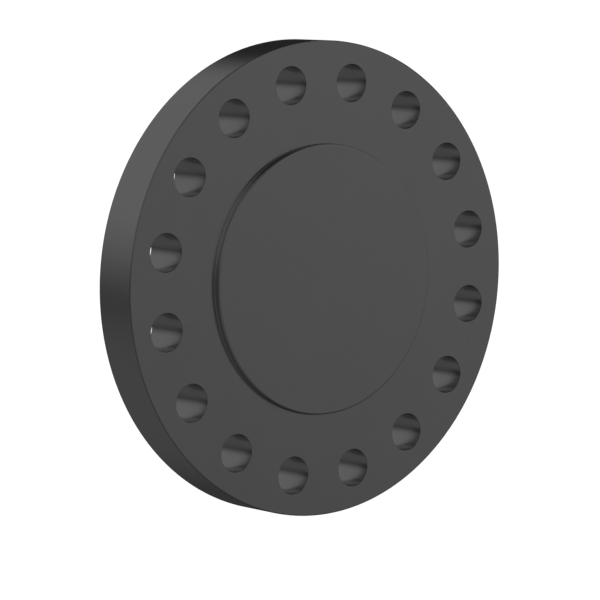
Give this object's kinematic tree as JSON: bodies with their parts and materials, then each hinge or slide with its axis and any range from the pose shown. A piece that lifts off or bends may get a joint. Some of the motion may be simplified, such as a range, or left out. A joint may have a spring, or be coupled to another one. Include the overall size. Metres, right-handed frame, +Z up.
{
  "type": "blind flange",
  "caption": "Flat round steel blind flange with a raised gasket face on one side and plain bolt holes around its rim, for closing the end of a pipe.",
  "frame": {"origin": "centre of the raised gasket face, on the flange's axis", "axes": "+Y along the flange's axis from the gasket face to the back, -Y out of the gasket face, +Z up with the flange standing upright as it is bolted on; the bolt holes straddle the Z axis"},
  "size_m": [0.585, 0.069, 0.585],
  "materials": {
    "dark_steel": "dark grey, satin, thin varnish over machined steel"
  },
  "bodies": {
    "root": {"flange_disc": "dark_steel"}
  },
  "joints": []
}
